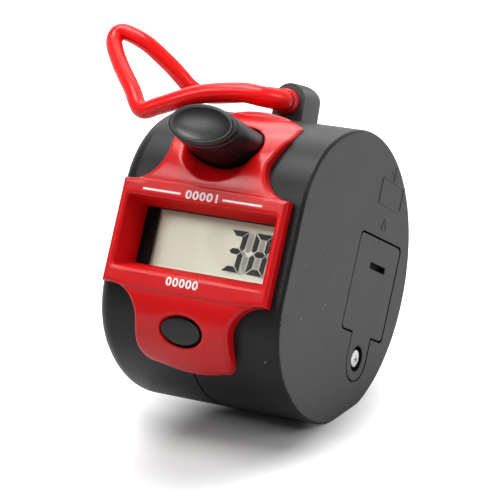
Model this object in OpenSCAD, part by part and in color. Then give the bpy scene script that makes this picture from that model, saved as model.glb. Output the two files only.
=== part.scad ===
// Digital tally counter, resting as photographed with its display leaning back.
// Millimetres, +Z up, +X towards the battery door, -Y towards the front.
// Origin at the centre of the base flat.

/* [Case] */
// Radius of the drum
drum_r = 22.5; // [18:0.1:30]
// Width across the two round faces
case_w = 31.3; // [26:0.1:40]
// Distance of the front flat from the drum axis
flat_front = 19; // [16:0.1:21]
// Radius of the bend from the front flat into the drum
blend_r = 13.75; // [8.75:0.25:15]
// Shell wall
wall = 1.8; // [1.2:0.1:2.4]
// Round on the left outer edge
left_round = 2.8; // [1:0.1:5]
// Round on the right outer edge
right_round = 0.6; // [0.3:0.1:2]
// Backward lean of the display in degrees
tilt = 26.3; // [0:0.1:40]
// Height of the drum axis above the base flat
axis_height = 21.7; // [18:0.1:29]
// Gap between pieces that move past each other
move_gap = 0.3; // [0.2:0.05:0.5]
// Depth of the seam between the shells
seam_deep = 0.3; // [0.1:0.05:0.5]

/* [Front bezel] */
// Distance of the front face from the drum axis
front_reach = 20.9; // [19.5:0.1:23]
// Width of the window box
box_w = 27.7; // [24:0.1:30]
// Round on the upright edges of the window box
box_round = 0.9; // [0.3:0.1:1.5]
// Lower edge of the flat front face
box_low = -8.5; // [-11:0.1:-7]
// Upper edge of the flat front face
box_high = 7.3; // [6:0.1:10]
// Bend radius above the flat front face
upper_bend = 12; // [10:0.1:14]
// Bend radius below the flat front face
lower_bend = 11.2; // [10.5:0.1:13]
// Radius of the thin fan at the top
fan_r = 22.95; // [22.7:0.05:23.5]
// Half width of the neck
neck_half = 8.45; // [7.5:0.05:10]
// Sideways place of the neck
neck_x = 0.2; // [0:0.05:0.5]
// Half width of the lower lobe
lobe_half = 7.95; // [7:0.05:10]
// Sideways place of the lobe and the reset button
lobe_x = 0.35; // [0:0.05:0.5]
// Radius of the four inner corners of the outline
corner_r = 5.1; // [3:0.1:6]

/* [Window and display] */
// Window width at the front
window_w = 25; // [20:0.1:26]
// Lower window edge at the front
window_low = -5.85; // [-7:0.05:-4]
// Upper window edge at the front
window_high = 4.87; // [4:0.01:6]
// Depth of the window recess
window_depth = 6; // [3:0.1:7]
// Viewing width of the display
view_w = 20.5; // [16:0.1:22]
// Viewing height of the display
view_h = 8.8; // [7:0.1:10]
// Distance of the board's front from the drum axis
board_front = 5.5; // [5:0.1:7]

/* [Count button] */
// Half width of the oval
count_a = 5.5; // [4:0.1:7]
// Half height of the oval
count_b = 3.1; // [2.5:0.1:4]
// Extra width of the plunger below its cap
count_skirt = 0.35; // [0:0.05:0.6]
// Upward slant of the plunger in degrees
count_slant = 6; // [0:0.5:15]
// Distance of the pressed face from the board
count_top = 20.9; // [16:0.1:24]
// Height of the plunger axis at the board
count_z = 13.68; // [12:0.01:15]
// Press travel
count_travel = 1.6; // [0.8:0.1:2]
// Turns in the return spring
spring_turns = 3.5; // [2:0.5:5]

/* [Reset button] */
// Half width of the oval
reset_a = 3.25; // [2:0.05:4.5]
// Half height of the oval
reset_b = 1.85; // [1.5:0.05:3]
// Height of the button's middle
reset_z = -13.9; // [-15:0.1:-12]
// Press travel
reset_travel = 0.8; // [0.4:0.1:1.2]

/* [Battery bay] */
// Cell radius
cell_r = 5.8; // [5.8:0.1:5.8]
// Cell height
cell_h = 5.2; // [3.6:0.1:5.4]
// Distance of the bay behind the drum axis
bay_y = 9.8; // [8:0.1:11]
// Height of the bay's middle
bay_z = 0.3; // [-2:0.1:2]
// Door thickness
door_t = 1.4; // [1:0.1:2]

/* [Finger loop] */
// Loop rod radius
loop_r = 1.35; // [1:0.05:2]
// Radius of the pins that turn in the lug
pin_r = 1.25; // [1:0.05:1.6]
// Clearance of the pins in the lug
pin_gap = 0.05; // [0.02:0.01:0.1]
// Depth of the lug from front to back
lug_depth = 5.6; // [4:0.1:8]
// Half width of the lug
lug_half = 2.7; // [2.2:0.1:4]
// Backward lean of the lug in degrees
lug_lean = 8; // [0:0.5:15]

/* [Hidden] */
$fn = 64;
half_w = case_w / 2;
inner_r = drum_r - wall;
blend_y = blend_r - flat_front;
blend_z = sqrt((drum_r - blend_r) ^ 2 - blend_y ^ 2);
seam_half = 0.12;
inner_x = half_w - wall;
tube_low = window_low - 1.15;
tube_high = window_high + 1.13;
tube_half = window_w / 2 + 0.8;
tube_end = window_depth - front_reach;
frame_front = tube_end + 0.05;
view_low = -view_h / 2 - 0.2;
view_high = view_h / 2 - 0.2;
lcd_front = frame_front + 0.8;
lcd_back = lcd_front + 1.8;
board_y = -board_front;
board_back = board_y + 1;
post_x = 6.6;
post_high = 8.4;
post_low = -9.6;
flange_top = 4.7;
flange_low = 3.7;
reset_flange = -9.8;
door_in = half_w - door_t;
cell_x = door_in - 0.1 - cell_h;
tab_z = -11;
screw_spots = [[0.5, 13], [0, -15.5], [13.5, 9.5]];
lug_spot = [0, 2.2, 25.9];
collar_r = 2;
guide_top = 9.4;
skirt_low = 11.4;
bowl_r = 7.6;

// Places a shape drawn about the drum axis into the resting pose.
module in_case() {
  translate([0, 0, axis_height]) rotate([-tilt, 0, 0]) children();
}

// Local frame of the count plunger, its axis along +Z from the board.
module in_count() {
  translate([0, board_y, count_z]) rotate([90 - count_slant, 0, 0]) children();
}

// Local frame of the lug, its bore along Y.
module in_lug() {
  translate(lug_spot) rotate([lug_lean, 0, 0]) children();
}

// Extrudes a side profile drawn in Y and Z along X.
module across(x0, x1) {
  translate([x0, 0, 0]) rotate([90, 0, 90]) linear_extrude(height = x1 - x0) children();
}

// Extrudes a front outline drawn in X and Z along Y.
module frontward(y0, y1) {
  translate([0, y1, 0]) rotate([90, 0, 0]) linear_extrude(height = y1 - y0) children();
}

module block(x0, x1, y0, y1, z0, z1) {
  translate([x0, y0, z0]) cube([x1 - x0, y1 - y0, z1 - z0]);
}

module rod_x(r, x0, x1, y, z) {
  translate([x0, y, z]) rotate([0, 90, 0]) cylinder(r = r, h = x1 - x0);
}

module rod_y(r, y0, y1, x, z) {
  translate([x, y0, z]) rotate([-90, 0, 0]) cylinder(r = r, h = y1 - y0);
}

// Oval made of four arcs that run into each other, grown outwards.
module oval(a, b, grow) {
  end = 1.17 * b * b / a;
  c = a - end;
  side = (c * c + b * b - end * end) / (2 * (b - end));
  k = side - b;
  far = 20 / norm([c, k]);
  intersection() {
    translate([0, -k]) circle(r = side + grow);
    translate([0, k]) circle(r = side + grow);
    polygon([[c, 0], [c + far * c, far * k], [-c - far * c, far * k],
      [-c, 0], [-c - far * c, -far * k], [c + far * c, -far * k]]);
  }
  for (s = [-1, 1])
    translate([s * c, 0]) circle(r = end + grow);
}

// Oval rod along +Z.
module oval_rod(a, b, grow, z0, z1) {
  translate([0, 0, z0]) linear_extrude(height = z1 - z0) oval(a, b, grow);
}

module round_box(y0, y1, z0, z1, r) {
  translate([y0 + r, z0]) square([y1 - y0 - 2 * r, z1 - z0]);
  translate([y0, z0 + r]) square([y1 - y0, z1 - z0 - 2 * r]);
  for (y = [y0 + r, y1 - r])
    for (z = [z0 + r, z1 - r])
      translate([y, z]) circle(r = r);
}

// Unit vector along v.
function unit(v) = v / norm(v);
// Part of n square to t, made a unit vector.
function square_to(n, t) = unit(n - (n * t) * t);
// One point of a smooth curve between b and c.
function between(a, b, c, d, t) =
  0.5 * (2 * b + (c - a) * t + (2 * a - 5 * b + 4 * c - d) * t * t
    + (3 * b - a - 3 * c + d) * t * t * t);
// Smooth curve through all points, n steps to each.
function smooth(p, n) = concat(
  [for (i = [0 : len(p) - 2]) for (k = [0 : n - 1])
    between(p[max(i - 1, 0)], p[i], p[i + 1], p[min(i + 2, len(p) - 1)], k / n)],
  [p[len(p) - 1]]);
function headings(p) =
  [for (i = [0 : len(p) - 1]) unit(p[min(i + 1, len(p) - 1)] - p[max(i - 1, 0)])];
// Carries a side direction along the curve without twist.
function carried(t, i, n) =
  concat([n], i + 1 < len(t) ? carried(t, i + 1, square_to(n, t[i + 1])) : []);

// Round rod along a curve.
module tube(path, r, sides) {
  t = headings(path);
  start = square_to(abs(t[0][0]) < 0.8 ? [1, 0, 0] : [0, 0, 1], t[0]);
  n = carried(t, 0, start);
  last = len(path) - 1;
  points = [for (i = [0 : last]) for (k = [0 : sides - 1])
    path[i] + r * (cos(360 * k / sides) * n[i] + sin(360 * k / sides) * cross(t[i], n[i]))];
  walls = [for (i = [0 : last - 1]) for (k = [0 : sides - 1]) for (half = [0, 1])
    let (a = i * sides + k, b = i * sides + (k + 1) % sides)
      half == 0 ? [a, a + sides, b + sides] : [a, b + sides, b]];
  caps = [[for (k = [0 : sides - 1]) k], [for (k = [sides - 1 : -1 : 0]) last * sides + k]];
  polyhedron(points = points, faces = concat(walls, caps));
}

// Plan of a body with its front at y0 and both front corners rounded.
module plan(x0, x1, y0, left, right) {
  translate([x0, y0 + left]) square([x1 - x0, 50]);
  translate([x0 + left, y0]) square([x1 - x0 - left - right, 50]);
  translate([x1 - right - 1, y0 + right]) square([right + 1, 50]);
  translate([x0 + left, y0 + left]) circle(r = left);
  translate([x1 - right, y0 + right]) circle(r = right);
}

// Side profile of the drum: a circle that bends into the front flat.
module drum_profile(grow) {
  far = 60;
  difference() {
    circle(r = drum_r + grow);
    polygon([[0, 0], far * [blend_y, blend_z], [-far, 0], far * [blend_y, -blend_z]]);
  }
  for (side = [-1, 1])
    translate([blend_y, side * blend_z]) circle(r = blend_r + grow);
  translate([-flat_front - grow, -blend_z]) square([flat_front + grow, 2 * blend_z]);
}

// Outside of the drum, with the edges of the front flat rounded too.
module drum_envelope(grow) {
  intersection() {
    across(-half_w - 1, half_w + 1) drum_profile(grow);
    translate([0, 0, -30]) linear_extrude(height = 60)
      plan(-half_w, half_w, -flat_front - grow, left_round, right_round);
  }
}

// Half section of a turned blank of radius r, its outer edge rounded.
module rim(r, edge) {
  square([r, half_w - edge]);
  square([r - edge, half_w]);
  translate([r - edge, half_w - edge]) circle(r = edge);
}

// Turned blank about X, from the seam to the outer edge.
module turned(r, edge) {
  rotate([0, 90, 0]) rotate_extrude() rim(r, edge);
}

// Blank of one shell: the drum, two bends and the front flat with one rounded edge.
module shell_blank(side, edge) {
  corner = 8 * [blend_y, blend_z];
  mirror([side < 0 ? 1 : 0, 0, 0]) {
    difference() {
      turned(drum_r, edge);
      across(-1, half_w + 1) polygon([[0, 0], corner, [corner[0], -corner[1]]]);
    }
    for (way = [0, 1])
      mirror([0, 0, way]) translate([0, blend_y, blend_z]) intersection() {
        turned(blend_r, edge);
        across(-1, half_w + 1) polygon([[0, 0], corner, [corner[0], 0]]);
      }
    translate([0, 0, -blend_z]) linear_extrude(height = 2 * blend_z) intersection() {
      plan(-half_w, half_w, -flat_front, edge, edge);
      translate([0, -flat_front]) square([half_w, blend_r]);
    }
    across(0, half_w) polygon([[0, 0], [blend_y, blend_z], [blend_y, -blend_z]]);
  }
}

// Space under the base flat.
module below_base() {
  rotate([tilt, 0, 0]) block(-40, 40, -40, 40, -axis_height - 40, -axis_height);
}

// Openings in the front wall for the window tube and the four posts.
module front_opening() {
  frontward(-25, -flat_front + wall + 0.6) {
    translate([-tube_half - 0.2, tube_low - 0.2])
      square([2 * tube_half + 0.4, tube_high - tube_low + 0.4]);
    for (x = [-post_x, post_x])
      for (z = [post_low, post_high])
        translate([x, z]) circle(r = 1.6);
  }
}

// Thick guides that the two buttons slide in, and the pad over the lug's foot.
module guides() {
  intersection() {
    drum_envelope(-0.2);
    union() {
      in_count() oval_rod(count_a, count_b, 1.6, flange_top + 0.1, guide_top);
      translate([lobe_x, -17.5, reset_z]) rotate([-90, 0, 0])
        oval_rod(reset_a, reset_b, 1.5, 0, 17.5 + reset_flange - 0.1);
      in_lug() block(-4.8, 4.8, -4.2, 4.2, -7.1, -2);
    }
  }
}

// Holes through the front for the buttons and through the top for the lug.
module guide_holes() {
  in_count() {
    oval_rod(count_a, count_b, 0, flange_top - 0.5, guide_top + 0.1);
    oval_rod(count_a, count_b, count_skirt + move_gap, guide_top, 30);
  }
  translate([lobe_x, -30, reset_z]) rotate([-90, 0, 0])
    oval_rod(reset_a, reset_b, move_gap, 0, 30 + reset_flange + 0.5);
  in_lug() block(-lug_half - 0.03, lug_half + 0.03,
    -lug_depth / 2 - 0.03, lug_depth / 2 + 0.03, -7.5, 0);
}

// One hollow shell with its screw bosses.
module shell(side, edge) {
  inside = side < 0 ? -inner_x : 0;
  difference() {
    shell_blank(side, edge);
    difference() {
      intersection() {
        rod_x(inner_r, inside, inside + inner_x, 0, 0);
        block(-half_w, half_w, -flat_front + wall, drum_r, -drum_r, drum_r);
      }
      guides();
      for (s = screw_spots)
        rod_x(2.8, -half_w, half_w, s[0], s[1]);
      if (side > 0)
        bay_block();
    }
    difference() {
      rod_x(drum_r + 1, -seam_half, seam_half, 0, 0);
      rod_x(drum_r - seam_deep, -1, 1, 0, 0);
    }
    below_base();
    front_opening();
    in_count() translate([0, 0, guide_top]) cylinder(r = bowl_r + 0.2, h = 20);
    guide_holes();
  }
}

// Solid part of the battery bay.
module bay_block() {
  rod_x(cell_r + 1.5, cell_x - 1.2, half_w, bay_y, bay_z);
  rod_x(2.4, door_in - 6, half_w, bay_y, tab_z);
  across(door_in - 1.5, half_w) door_outline(1.3);
}

// Outline of the battery door, grown for its recess.
module door_outline(grow) {
  round_box(bay_y - 7.6 - grow, bay_y + 7.6 + grow, bay_z - 7.45 - grow, bay_z + 7.45 + grow, 1);
  translate([bay_y - 3.4 - grow, tab_z]) square([6.8 + 2 * grow, 5]);
  translate([bay_y, tab_z]) circle(r = 3.4 + grow);
}

module left_shell() {
  color([0.13, 0.13, 0.14]) difference() {
    shell(-1, left_round);
    for (s = screw_spots) {
      rod_x(0.95, -half_w, 1, s[0], s[1]);
      rod_x(2, -half_w - 1, -half_w + 2.6, s[0], s[1]);
    }
  }
}

module right_shell() {
  color([0.15, 0.15, 0.16]) difference() {
    shell(1, right_round);
    for (s = screw_spots)
      rod_x(0.85, -1, 9, s[0], s[1]);
    across(door_in - 0.05, half_w + 1) door_outline(move_gap);
    rod_x(cell_r + 0.3, cell_x - 0.35, half_w, bay_y, bay_z);
    rod_x(1.2, door_in - 5, half_w, bay_y, tab_z);
    block(cell_x - 0.35, cell_x + 4.2, 0, 5, -2.2, 2.4);
  }
}

// Side profile of the red front: a flat face with a bend above and below.
module front_profile() {
  intersection() {
    union() {
      translate([upper_bend - front_reach, box_high]) circle(r = upper_bend);
      translate([lower_bend - front_reach, box_low]) circle(r = lower_bend);
      translate([-front_reach, box_low]) square([front_reach, box_high - box_low]);
      intersection() {
        circle(r = fan_r);
        translate([-30, 14]) square([30, 20]);
      }
    }
    translate([-front_reach, -30]) square([60, 60]);
  }
}

// Front outline of the red front.
module front_outline() {
  high = box_high + corner_r + 0.1;
  low = box_low - corner_r + 0.1;
  translate([-box_w / 2, box_low]) square([box_w, box_high - box_low + 0.1]);
  translate([neck_x, 0]) difference() {
    turn = neck_half + corner_r - 0.1;
    translate([-turn, box_high - 1]) square([2 * turn, corner_r + 0.9]);
    for (side = [-1, 1])
      translate([side * turn, high]) circle(r = corner_r);
  }
  translate([neck_x, 0]) intersection() {
    translate([0, 4.4]) circle(r = 17.6);
    polygon([[-neck_half, box_high], [neck_half, box_high], [neck_half, high],
      [9.2, 17], [8.1, 24], [-8.1, 24], [-9.2, 17], [-neck_half, high]]);
  }
  translate([lobe_x, 0]) difference() {
    turn = lobe_half + corner_r - 0.1;
    translate([-turn, low + 0.2]) square([2 * turn, corner_r + 0.5]);
    for (side = [-1, 1])
      translate([side * turn, low]) circle(r = corner_r);
  }
  translate([lobe_x, 0]) intersection() {
    translate([0, 2.8]) circle(r = 22);
    union() {
      translate([-lobe_half, -16.2]) square([2 * lobe_half, 8]);
      translate([-lobe_half + 2.3, -20]) square([2 * lobe_half - 4.6, 10]);
      for (side = [-1, 1])
        translate([side * (lobe_half - 2.3), -16.2]) circle(r = 2.35);
    }
  }
}

// Tapered space of the window recess.
module window_space() {
  intersection() {
    across(-20, 20) polygon([[-front_reach - 1, window_low - 0.22],
      [-front_reach - 1, window_high + 0.1],
      [tube_end + 1, window_high - 0.66], [tube_end + 1, window_low + 1.54]]);
    translate([0, 0, -20]) linear_extrude(height = 40) polygon([
      [-window_w / 2 - 0.06, -front_reach - 1], [window_w / 2 + 0.06, -front_reach - 1],
      [window_w / 2 - 0.46, tube_end + 1], [-window_w / 2 + 0.46, tube_end + 1]]);
  }
}

module front_bezel() {
  color([0.8, 0.08, 0.1]) difference() {
    union() {
      difference() {
        intersection() {
          across(-14.5, 14.5) front_profile();
          frontward(-30, 0) front_outline();
          translate([0, 0, -30]) linear_extrude(height = 60)
            plan(-box_w / 2, box_w / 2, -front_reach, box_round, box_round);
        }
        drum_envelope(0.04);
      }
      intersection() {
        across(-14.5, 14.5) front_profile();
        in_count() translate([0, 0, guide_top + 0.2]) cylinder(r = bowl_r, h = 5.4);
      }
      block(-tube_half, tube_half, -flat_front - 0.6, tube_end, tube_low, tube_high);
      for (x = [-post_x, post_x])
        for (z = [post_low, post_high])
          rod_y(1.4, -flat_front - 0.6, board_y - 0.05, x, z);
    }
    window_space();
    guide_holes();
    in_count() translate([0, 0, 19.1]) sphere(r = 8);
    for (x = [-post_x, post_x])
      for (z = [post_low, post_high])
        rod_y(0.7, board_y - 5, board_y, x, z);
  }
}

module window_lens() {
  color([0.85, 0.88, 0.9, 0.4])
    block(-11.9, 11.9, tube_end - 0.8, tube_end, window_low + 1.55, window_high - 0.75);
}

module lcd_frame() {
  color([0.08, 0.08, 0.09]) difference() {
    block(-12.9, 12.9, frame_front, board_y - 0.05, tube_low, tube_high);
    block(-view_w / 2, view_w / 2, frame_front - 1, lcd_front + 1, view_low, view_high);
    block(-11.4, 11.4, lcd_front, board_y, view_low - 1.3, view_high + 0.95);
  }
}

module lcd_glass() {
  color([0.78, 0.78, 0.7])
    block(-11.3, 11.3, lcd_front + 0.05, lcd_back, view_low - 1.2, view_high + 0.85);
}

module lcd_reflector() {
  color([0.7, 0.7, 0.66])
    block(-10.8, 10.8, lcd_back + 0.05, lcd_back + 0.3, view_low + 0.5, view_high - 0.5);
}

module zebra_strips() {
  color([0.25, 0.25, 0.27]) {
    block(-10.8, 10.8, lcd_back + 0.05, board_y - 0.05, view_low - 1.15, view_low + 0.35);
    block(-10.8, 10.8, lcd_back + 0.05, board_y - 0.05, view_high - 0.35, view_high + 0.8);
  }
}

module main_pcb() {
  color([0.1, 0.35, 0.2]) difference() {
    block(-12.6, 12.6, board_y, board_back, -16.6, 16.2);
    for (x = [-post_x, post_x])
      for (z = [post_low, post_high])
        rod_y(0.8, board_y - 1, board_back + 1, x, z);
  }
}

module chip_blob() {
  color([0.05, 0.05, 0.06]) intersection() {
    translate([0, board_back - 3.2, -2]) sphere(r = 4.6);
    block(-6, 6, board_back + 0.02, board_back + 3, -8, 4);
  }
}

module quartz_crystal() {
  color([0.75, 0.75, 0.77]) rod_x(1, -10.5, -4.5, board_back + 1.05, -6.5);
}

module smd_parts() {
  color([0.45, 0.38, 0.3]) {
    block(5, 7, board_back + 0.02, board_back + 0.8, -5, -3.8);
    block(5, 7, board_back + 0.02, board_back + 0.8, -7.2, -6);
    block(-8, -6, board_back + 0.02, board_back + 0.6, 2, 3.2);
    block(-8, -6, board_back + 0.02, board_back + 0.6, 4.2, 5.4);
  }
}

module pcb_screws() {
  color([0.7, 0.7, 0.72])
    for (x = [-post_x, post_x])
      for (z = [post_low, post_high]) {
        rod_y(1.4, board_back + 0.02, board_back + 0.9, x, z);
        rod_y(0.65, board_y - 4, board_back + 0.5, x, z);
      }
}

module count_button() {
  color([0.1, 0.1, 0.11]) in_count() difference() {
    union() {
      oval_rod(count_a, count_b, 0, skirt_low + 1, count_top);
      oval_rod(count_a, count_b, count_skirt, skirt_low, count_top - 1.3);
      oval_rod(count_a, count_b, -move_gap, flange_low + 0.2, skirt_low + 0.5);
      oval_rod(count_a, count_b, 0.65, flange_low, flange_top);
      translate([0, 0, 2.3]) cylinder(r = 1.7, h = 2);
    }
    translate([0, 0, count_top + 24.5]) sphere(r = 25);
  }
}

module contact_pill() {
  color([0.2, 0.2, 0.22]) in_count() translate([0, 0, 1.85]) cylinder(r = 1.5, h = 0.44);
}

module count_spring() {
  steps = spring_turns * 18;
  color([0.75, 0.75, 0.78]) in_count()
    tube([for (i = [0 : steps]) [2.7 * cos(20 * i), 2.7 * sin(20 * i), 0.75 + 2.7 * i / steps]],
      0.22, 8);
}

module spring_seat() {
  color([0.6, 0.6, 0.58]) difference() {
    in_count() difference() {
      translate([0, 0, -2]) cylinder(r = 3.7, h = 2.5);
      translate([0, 0, -3]) cylinder(r = 2, h = 6);
    }
    block(-6, 6, board_y - 0.02, board_y + 8, 5, 25);
  }
}

module reset_button() {
  color([0.12, 0.12, 0.13]) {
    intersection() {
      translate([lobe_x, -30, reset_z]) rotate([-90, 0, 0])
        oval_rod(reset_a, reset_b, 0, 0, 30 + reset_flange + 0.4);
      translate([0, 0.15, 0]) across(-6, 6) front_profile();
    }
    translate([lobe_x, reset_flange, reset_z]) rotate([-90, 0, 0])
      oval_rod(reset_a, reset_b, 0.8, 0, 0.9);
  }
}

module reset_dome() {
  color([0.55, 0.56, 0.58]) translate([lobe_x, board_y - 0.02, reset_z]) rotate([90, 0, 0])
    cylinder(r1 = 2.4, r2 = 1.5, h = board_y - reset_flange - 1);
}

module button_cell() {
  color([0.78, 0.78, 0.8]) {
    rod_x(cell_r, cell_x + 0.5, cell_x + cell_h, bay_y, bay_z);
    rod_x(cell_r - 0.9, cell_x, cell_x + 1, bay_y, bay_z);
  }
}

module contact_positive() {
  color([0.8, 0.78, 0.7]) {
    block(cell_x + 1, cell_x + 4, 3.6, 3.85, -1.4, 1.6);
    block(cell_x + 1, cell_x + 2.6, board_back + 0.02, 3.7, 1.35, 1.6);
  }
}

module contact_negative() {
  color([0.8, 0.78, 0.7]) {
    block(cell_x - 0.3, cell_x - 0.05, 4.5, bay_y + 3, -2, 2);
    block(cell_x - 0.3, cell_x - 0.05, board_back + 0.02, 5, -2, -0.6);
  }
}

module battery_door() {
  color([0.16, 0.16, 0.17]) difference() {
    across(door_in, half_w) door_outline(0);
    block(half_w - 0.9, half_w + 1, 7.5, 13.3, 2.95, 3.95);
    rod_x(2, half_w - 0.7, half_w + 1, bay_y, tab_z);
    rod_x(1, door_in - 1, half_w, bay_y, tab_z);
  }
}

module door_screw() {
  color([0.75, 0.75, 0.77]) {
    rod_x(1.4, half_w - 0.68, half_w - 0.1, bay_y, tab_z);
    rod_x(0.85, door_in - 4, half_w - 0.5, bay_y, tab_z);
  }
}

module case_screws() {
  color([0.6, 0.6, 0.62])
    for (s = screw_spots) {
      rod_x(1.75, -half_w + 1.1, -half_w + 2.58, s[0], s[1]);
      rod_x(0.8, -half_w + 2, 8, s[0], s[1]);
    }
}

module loop_lug() {
  color([0.13, 0.13, 0.14]) in_lug() difference() {
    union() {
      intersection() {
        frontward(-lug_depth / 2, lug_depth / 2) {
          translate([-lug_half, -7.4]) square([2 * lug_half, 7.7]);
          translate([0, 0.3]) circle(r = lug_half);
        }
        across(-5, 5) round_box(-lug_depth / 2 - 2, lug_depth / 2, -12, lug_half + 0.3, 2);
      }
      block(-4.5, 4.5, -3.8, 3.8, -8.3, -7.15);
    }
    rod_y(pin_r + pin_gap, -lug_depth, lug_depth, 0, 0);
  }
}

// Middle line of the loop from the front collar round to the rear collar.
function loop_line() =
  let (lean = [0, cos(lug_lean), sin(lug_lean)], ahead = lug_depth / 2 + 1.6,
    behind = lug_depth / 2 + 0.7)
    concat([lug_spot - ahead * lean, lug_spot - (ahead + 1.4) * lean],
      [[-2.2, -5.6, 25.2], [-5.7, -6.2, 24.8], [-12.2, -6.8, 23.7], [-18.6, -7, 21.1],
        [-21.9, -6.8, 20.1], [-25.5, -5, 23.5], [-30.6, -2, 28], [-34, 0.5, 31.8],
        [-33.4, 1.4, 33.7], [-29.3, 2.2, 32.6], [-25.1, 3.7, 30], [-22.9, 4.7, 28.3],
        [-21.2, 5.7, 26.9], [-19.1, 6.7, 26.2], [-16, 7.7, 26.7], [-11.6, 8.7, 27.7],
        [-6.9, 9.2, 28], [-2.8, 9.2, 27.7]],
      [lug_spot + (behind + 1.6) * lean, lug_spot + behind * lean]);

module finger_loop() {
  color([0.82, 0.07, 0.09]) {
    tube(smooth(loop_line(), 4), loop_r, 16);
    in_lug() {
      rod_y(collar_r, -lug_depth / 2 - 2, -lug_depth / 2 - 0.15, 0, 0);
      rod_y(pin_r, -lug_depth / 2 - 0.6, -0.4, 0, 0);
      rod_y(collar_r, lug_depth / 2 + 0.15, lug_depth / 2 + 1, 0, 0);
      rod_y(pin_r, 0.4, lug_depth / 2 + 0.6, 0, 0);
    }
  }
}

in_case() left_shell();
in_case() right_shell();
in_case() front_bezel();
in_case() window_lens();
in_case() lcd_frame();
in_case() lcd_glass();
in_case() lcd_reflector();
in_case() zebra_strips();
in_case() main_pcb();
in_case() chip_blob();
in_case() quartz_crystal();
in_case() smd_parts();
in_case() pcb_screws();
in_case() count_button();
in_case() contact_pill();
in_case() count_spring();
in_case() spring_seat();
in_case() reset_button();
in_case() reset_dome();
in_case() button_cell();
in_case() contact_positive();
in_case() contact_negative();
in_case() battery_door();
in_case() door_screw();
in_case() case_screws();
in_case() loop_lug();
in_case() finger_loop();
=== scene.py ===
import math

import bpy
from mathutils import Matrix, Vector


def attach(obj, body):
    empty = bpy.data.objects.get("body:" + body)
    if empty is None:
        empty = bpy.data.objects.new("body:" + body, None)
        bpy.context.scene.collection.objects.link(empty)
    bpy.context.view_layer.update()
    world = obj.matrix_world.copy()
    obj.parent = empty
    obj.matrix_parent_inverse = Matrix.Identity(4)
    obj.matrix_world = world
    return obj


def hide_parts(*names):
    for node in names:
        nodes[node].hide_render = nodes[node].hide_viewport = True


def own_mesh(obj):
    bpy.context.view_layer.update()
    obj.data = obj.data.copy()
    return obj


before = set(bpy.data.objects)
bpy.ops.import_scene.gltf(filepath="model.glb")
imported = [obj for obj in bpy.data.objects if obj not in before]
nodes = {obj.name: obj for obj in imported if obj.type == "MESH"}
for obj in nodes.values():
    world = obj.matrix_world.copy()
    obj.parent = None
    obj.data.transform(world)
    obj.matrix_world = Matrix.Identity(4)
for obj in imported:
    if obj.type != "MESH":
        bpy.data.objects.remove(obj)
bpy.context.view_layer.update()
print("frame loaded,", len(nodes), "nodes")

mm = 0.001
# the drum is drawn upright about its axis, then leans back and stands on its base flat
drum = {"lean": 26.3, "axisHeight": 21.7, "radius": 22.5, "halfWidth": 15.65}
drumPlace = (Matrix.Translation((0, 0, drum["axisHeight"] * mm))
             @ Matrix.Rotation(math.radians(-drum["lean"]), 4, "X"))


def addObject(name, data):
    piece = bpy.data.objects.new(name, data)
    bpy.context.scene.collection.objects.link(piece)
    return piece


def copyPiece(piece):
    return addObject(piece.name, piece.data.copy())


def removePiece(piece):
    bpy.data.objects.remove(piece, do_unlink=True)


def deselectAll():
    bpy.ops.object.select_all(action="DESELECT")


def makeActive(piece):
    deselectAll()
    piece.select_set(True)
    bpy.context.view_layer.objects.active = piece


# opens a piece with all of it selected
def startEdit(piece):
    makeActive(piece)
    bpy.ops.object.mode_set(mode="EDIT")
    bpy.ops.mesh.select_mode(type="VERT")
    bpy.ops.mesh.select_all(action="SELECT")


def endEdit():
    bpy.ops.object.mode_set(mode="OBJECT")


# ends an edit with every face turned outwards
def endFacingOut():
    bpy.ops.mesh.select_all(action="SELECT")
    bpy.ops.mesh.normals_make_consistent(inside=False)
    endEdit()


# clears the selection and leaves edit mode, so that the code can pick
def startPick(kind):
    bpy.ops.mesh.select_mode(type=kind)
    bpy.ops.mesh.select_all(action="DESELECT")
    endEdit()


def endPick():
    bpy.ops.object.mode_set(mode="EDIT")


# of the sharp edges, keeps those whose two ends pass the test
def pickSharpEdges(piece, angle, test):
    bpy.ops.mesh.select_mode(type="EDGE")
    bpy.ops.mesh.select_all(action="DESELECT")
    bpy.ops.mesh.edges_select_sharp(sharpness=math.radians(angle))
    endEdit()
    points = piece.data.vertices
    back = drumPlace.inverted()
    for edge in piece.data.edges:
        if edge.select:
            ends = [back @ points[i].co / mm for i in edge.vertices]
            edge.select = all(test(end) for end in ends)
    endPick()


def applyModifier(piece, kind, **values):
    makeActive(piece)
    bpy.ops.object.modifier_add(type=kind)
    modifier = piece.modifiers[-1]
    for name, value in values.items():
        setattr(modifier, name, value)
    bpy.ops.object.modifier_apply(modifier=modifier.name)


def cutAway(piece, cutter):
    applyModifier(piece, "BOOLEAN", operation="DIFFERENCE", object=cutter, solver="EXACT")
    removePiece(cutter)


# shading follows the large flat faces, so that rounded edges don't cloud them
def weighFlats(piece, weight=90):
    applyModifier(piece, "WEIGHTED_NORMAL", keep_sharp=True, weight=weight)


# puts a piece that was modelled about its own axis into the resting pose
def settle(piece, place=drumPlace):
    bpy.context.view_layer.update()
    piece.matrix_world = place @ piece.matrix_world
    makeActive(piece)
    bpy.ops.object.transform_apply(location=True, rotation=True, scale=True)


def smoothShade(piece, angle=35):
    makeActive(piece)
    bpy.ops.object.shade_smooth_by_angle(angle=math.radians(angle))


def joinPieces(pieces, name):
    makeActive(pieces[0])
    for piece in pieces[1:]:
        piece.select_set(True)
    bpy.ops.object.join()
    pieces[0].name = name
    return pieces[0]


def meshFromCurve(name, curve):
    makeActive(addObject(name, curve))
    bpy.ops.object.convert(target="MESH")
    return bpy.context.object


def dress(piece, material, body, slot, *replaced):
    piece.data.materials.clear()
    piece.data.materials.append(material)
    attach(piece, body)
    if replaced:
        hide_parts(*replaced)


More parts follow.
